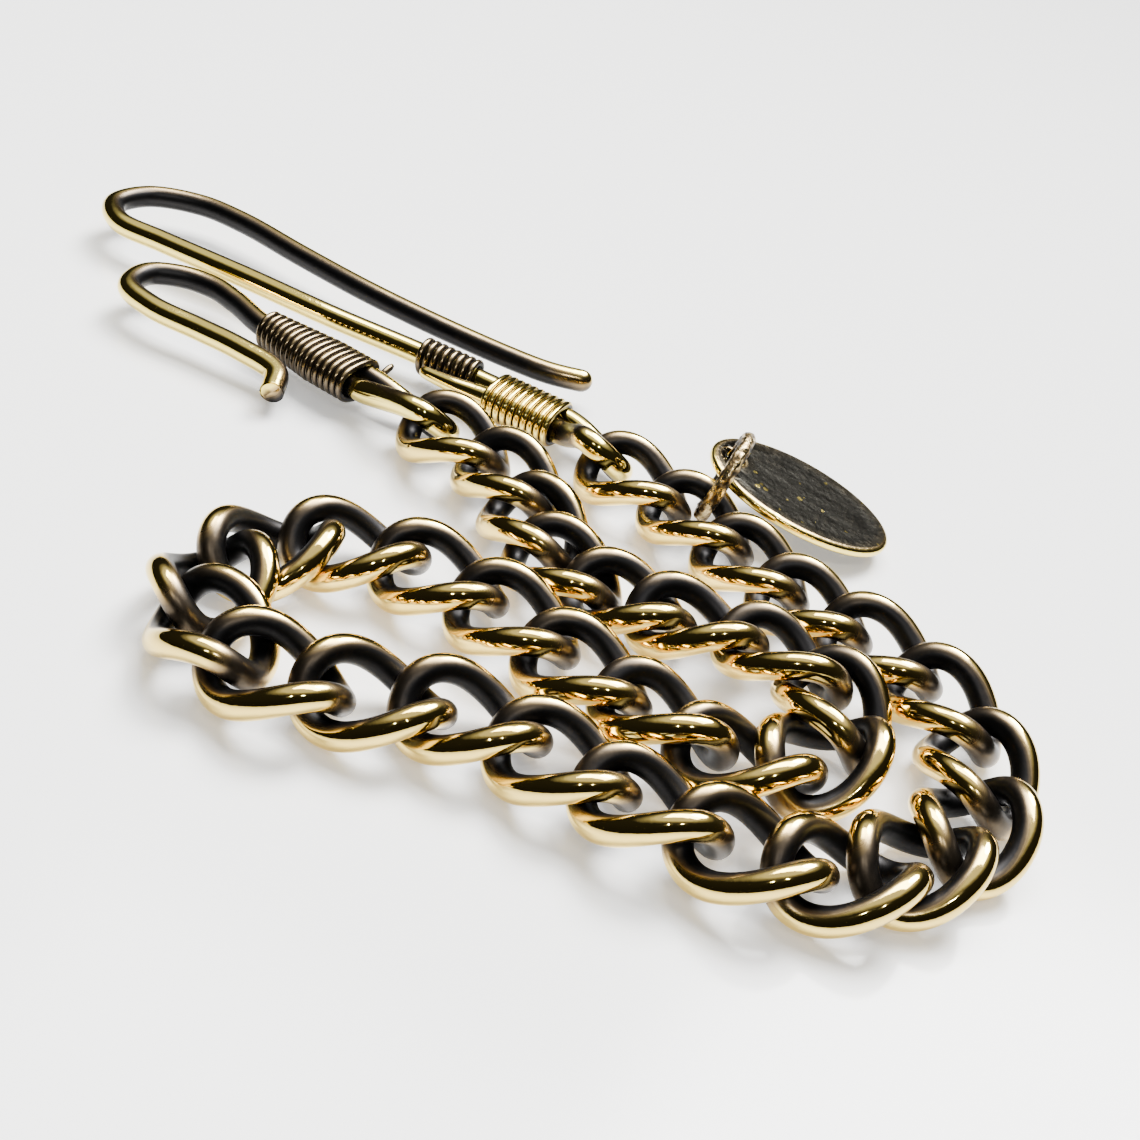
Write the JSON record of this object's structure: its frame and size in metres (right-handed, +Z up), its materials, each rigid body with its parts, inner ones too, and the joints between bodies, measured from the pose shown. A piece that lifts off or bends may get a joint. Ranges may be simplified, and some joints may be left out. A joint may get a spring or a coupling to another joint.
{
  "type": "pocket watch chain",
  "caption": "Folded curb-link watch chain of twisted brass wire links with a long and a short wire-bound hook and a small oval tag on a ring",
  "frame": {"origin": "bottom centre of the whole object's bounding box, on the surface the chain lies on", "axes": "+Z is up, the thinnest direction of the folded chain; the folded strands run mainly along X and the hooks lie towards +Y and -X"},
  "size_m": [0.1002, 0.091, 0.0105],
  "materials": {
    "link_brass": "polished on the outer faces, blackened patina inside the rings",
    "hook_brass": "polished pale yellow",
    "binding_brass": "bright on the crowns, dark between the turns",
    "ring_brass": "rough, tarnished",
    "tag_brass": "blackened face with worn gold specks and a gold rim"
  },
  "bodies": {
    "link_01": {"link_01": "link_brass"},
    "link_02": {"link_02": "link_brass"},
    "link_03": {"link_03": "link_brass"},
    "link_04": {"link_04": "link_brass"},
    "link_05": {"link_05": "link_brass"},
    "link_06": {"link_06": "link_brass"},
    "link_07": {"link_07": "link_brass"},
    "link_08": {"link_08": "link_brass"},
    "link_09": {"link_09": "link_brass"},
    "link_10": {"link_10": "link_brass"},
    "link_11": {"link_11": "link_brass"},
    "link_12": {"link_12": "link_brass"},
    "link_13": {"link_13": "link_brass"},
    "link_14": {"link_14": "link_brass"},
    "link_15": {"link_15": "link_brass"},
    "link_16": {"link_16": "link_brass"},
    "link_17": {"link_17": "link_brass"},
    "link_18": {"link_18": "link_brass"},
    "link_19": {"link_19": "link_brass"},
    "link_20": {"link_20": "link_brass"},
    "link_21": {"link_21": "link_brass"},
    "link_22": {"link_22": "link_brass"},
    "link_23": {"link_23": "link_brass"},
    "link_24": {"link_24": "link_brass"},
    "link_25": {"link_25": "link_brass"},
    "link_26": {"link_26": "link_brass"},
    "link_27": {"link_27": "link_brass"},
    "link_28": {"link_28": "link_brass"},
    "link_29": {"link_29": "link_brass"},
    "link_30": {"link_30": "link_brass"},
    "link_31": {"link_31": "link_brass"},
    "link_32": {"link_32": "link_brass"},
    "link_33": {"link_33": "link_brass"},
    "link_34": {"link_34": "link_brass"},
    "short_hook": {"short_hook_binding": "binding_brass", "short_hook_wire": "hook_brass"},
    "long_hook": {"long_hook_thick_binding": "binding_brass", "long_hook_thin_binding": "binding_brass", "long_hook_wire": "hook_brass"},
    "tag_ring": {"tag_ring": "ring_brass"},
    "tag_plate": {"tag_plate": "tag_brass"}
  },
  "joints": [
    {"name": "link_18_bend", "type": "hinge", "parent": "link_17", "child": "link_18", "pos_m": [-0.01821, -0.02763, 0.00302], "axis": [-0.7762, -0.6244, -0.0871], "range_deg": [-11, 22]},
    {"name": "link_19_bend", "type": "hinge", "parent": "link_18", "child": "link_19", "pos_m": [-0.01349, -0.03319, 0.00339], "axis": [0.2173, 0.9722, 0.0871], "range_deg": [-22, 11]},
    {"name": "link_20_bend", "type": "hinge", "parent": "link_19", "child": "link_20", "pos_m": [-0.00607, -0.03372, 0.00303], "axis": [0.064, -0.9941, -0.0871], "range_deg": [-22, 19]},
    {"name": "link_21_bend", "type": "hinge", "parent": "link_20", "child": "link_21", "pos_m": [0.00145, -0.0325, 0.00294], "axis": [0.1322, 0.9912, 0], "range_deg": [-15, 22]},
    {"name": "link_22_bend", "type": "hinge", "parent": "link_21", "child": "link_22", "pos_m": [0.00916, -0.03418, 0.00284], "axis": [-0.3547, -0.935, 0], "range_deg": [-22, 22]},
    {"name": "link_23_bend", "type": "hinge", "parent": "link_22", "child": "link_23", "pos_m": [0.01612, -0.03729, 0.00324], "axis": [0.3253, 0.9295, -0.1736], "range_deg": [-22, 19]},
    {"name": "link_24_bend", "type": "hinge", "parent": "link_23", "child": "link_24", "pos_m": [0.02344, -0.0401, 0.00344], "axis": [-0.1029, -0.9947, 0], "range_deg": [-22, 22]},
    {"name": "link_25_bend", "type": "hinge", "parent": "link_24", "child": "link_25", "pos_m": [0.0306, -0.04109, 0.00305], "axis": [-0.3048, 0.9524, 0], "range_deg": [-22, 15]},
    {"name": "link_26_bend", "type": "hinge", "parent": "link_25", "child": "link_26", "pos_m": [0.03686, -0.03892, 0.00294], "axis": [0.669, -0.7433, 0], "range_deg": [-22, 19]},
    {"name": "link_27_bend", "type": "hinge", "parent": "link_26", "child": "link_27", "pos_m": [0.04265, -0.03434, 0.00294], "axis": [-0.921, 0.3896, 0], "range_deg": [-22, 15]},
    {"name": "link_28_bend", "type": "hinge", "parent": "link_27", "child": "link_28", "pos_m": [0.04545, -0.02711, 0.00283], "axis": [0.9947, 0.1029, 0], "range_deg": [-22, 22]},
    {"name": "link_29_bend", "type": "hinge", "parent": "link_28", "child": "link_29", "pos_m": [0.04454, -0.01955, 0.00324], "axis": [-0.8423, -0.5391, 0], "range_deg": [-22, 22]},
    {"name": "link_30_bend", "type": "hinge", "parent": "link_29", "child": "link_30", "pos_m": [0.03982, -0.01337, 0.00343], "axis": [0.652, 0.7532, 0.0871], "range_deg": [-22, 22]},
    {"name": "link_31_bend", "type": "hinge", "parent": "link_30", "child": "link_31", "pos_m": [0.03394, -0.00873, 0.00303], "axis": [-0.6163, -0.7875, 0], "range_deg": [-22, 22]},
    {"name": "link_32_bend", "type": "hinge", "parent": "link_31", "child": "link_32", "pos_m": [0.02827, -0.00443, 0.00294], "axis": [0.6727, 0.7399, 0], "range_deg": [-22, 22]},
    {"name": "link_33_bend", "type": "hinge", "parent": "link_32", "child": "link_33", "pos_m": [0.02287, 0.00119, 0.00294], "axis": [-0.6402, -0.7682, 0], "range_deg": [-22, 22]},
    {"name": "link_34_bend", "type": "hinge", "parent": "link_33", "child": "link_34", "pos_m": [0.01657, 0.00594, 0.00294], "axis": [0.5692, 0.8222, 0], "range_deg": [-22, 22]},
    {"name": "link_16_bend", "type": "hinge", "parent": "link_17", "child": "link_16", "pos_m": [-0.01751, -0.02006, 0.00294], "axis": [0.7071, -0.7071, 0], "range_deg": [-22, 7]},
    {"name": "link_15_bend", "type": "hinge", "parent": "link_16", "child": "link_15", "pos_m": [-0.01206, -0.01487, 0.00288], "axis": [-0.1065, 0.9943, 0], "range_deg": [-15, 22]},
    {"name": "link_14_bend", "type": "hinge", "parent": "link_15", "child": "link_14", "pos_m": [-0.00438, -0.01479, 0.00309], "axis": [-0.3237, -0.9421, -0.0871], "range_deg": [-19, 22]},
    {"name": "link_13_bend", "type": "hinge", "parent": "link_14", "child": "link_13", "pos_m": [0.00293, -0.01762, 0.00314], "axis": [0.5079, 0.857, 0.0872], "range_deg": [-22, 22]},
    {"name": "link_12_bend", "type": "hinge", "parent": "link_13", "child": "link_12", "pos_m": [0.00943, -0.02212, 0.00309], "axis": [-0.5098, -0.8603, 0], "range_deg": [-22, 22]},
    {"name": "link_11_bend", "type": "hinge", "parent": "link_12", "child": "link_11", "pos_m": [0.01623, -0.026, 0.00333], "axis": [0.3923, 0.8827, -0.2588], "range_deg": [-22, 19]},
    {"name": "link_10_bend", "type": "hinge", "parent": "link_11", "child": "link_10", "pos_m": [0.02242, -0.02998, 0.00314], "axis": [0, -0.9848, 0.1736], "range_deg": [-11, 22]},
    {"name": "link_09_bend", "type": "hinge", "parent": "link_10", "child": "link_09", "pos_m": [0.02976, -0.03029, 0.00307], "axis": [-0.7719, 0.6357, 0], "range_deg": [-22, 7]},
    {"name": "link_08_bend", "type": "hinge", "parent": "link_09", "child": "link_08", "pos_m": [0.03422, -0.02493, 0.00361], "axis": [0.9293, 0.3262, -0.1729], "range_deg": [-1, 7]},
    {"name": "link_07_bend", "type": "hinge", "parent": "link_08", "child": "link_07", "pos_m": [0.03172, -0.01882, 0.00439], "axis": [-0.4899, -0.8325, 0.2588], "range_deg": [-19, 11]},
    {"name": "link_06_bend", "type": "hinge", "parent": "link_07", "child": "link_06", "pos_m": [0.02452, -0.01563, 0.00409], "axis": [0.3231, 0.9424, -0.0867], "range_deg": [-22, 15]},
    {"name": "link_05_bend", "type": "hinge", "parent": "link_06", "child": "link_05", "pos_m": [0.01843, -0.01388, 0.00321], "axis": [-0.3846, -0.9231, 0], "range_deg": [-19, 22]},
    {"name": "link_04_bend", "type": "hinge", "parent": "link_05", "child": "link_04", "pos_m": [0.01179, -0.01191, 0.00274], "axis": [0.6668, 0.7452, 0], "range_deg": [-22, 11]},
    {"name": "link_03_bend", "type": "hinge", "parent": "link_04", "child": "link_03", "pos_m": [0.00741, -0.00713, 0.00283], "axis": [-0.8638, -0.5039, 0], "range_deg": [-22, 11]},
    {"name": "link_02_bend", "type": "hinge", "parent": "link_03", "child": "link_02", "pos_m": [0.00446, -0.00024, 0.00309], "axis": [0.7568, 0.6536, 0], "range_deg": [-11, 22]},
    {"name": "link_01_bend", "type": "hinge", "parent": "link_02", "child": "link_01", "pos_m": [-0.00101, 0.00483, 0.00314], "axis": [-0.6, -0.8, 0], "range_deg": [-22, 22]},
    {"name": "short_hook_swing", "type": "hinge", "parent": "link_01", "child": "short_hook", "pos_m": [-0.00685, 0.00921, 0.00314], "axis": [-0.6, -0.8, 0], "range_deg": [-20, 20]},
    {"name": "long_hook_swing", "type": "hinge", "parent": "link_34", "child": "long_hook", "pos_m": [0.01057, 0.0101, 0.00294], "axis": [-0.5692, -0.8222, 0], "range_deg": [-20, 20]},
    {"name": "tag_ring_swing", "type": "hinge", "parent": "link_33", "child": "tag_ring", "pos_m": [0.02037, 0.00682, 0.00214], "axis": [0.9513, -0.1677, -0.2588], "range_deg": [-18, 18]},
    {"name": "tag_swivel", "type": "hinge", "parent": "tag_ring", "child": "tag_plate", "pos_m": [0.02207, 0.01182, 0.00573], "axis": [0.2401, -0.0343, 0.9701], "range_deg": [-13, 18]}
  ]
}
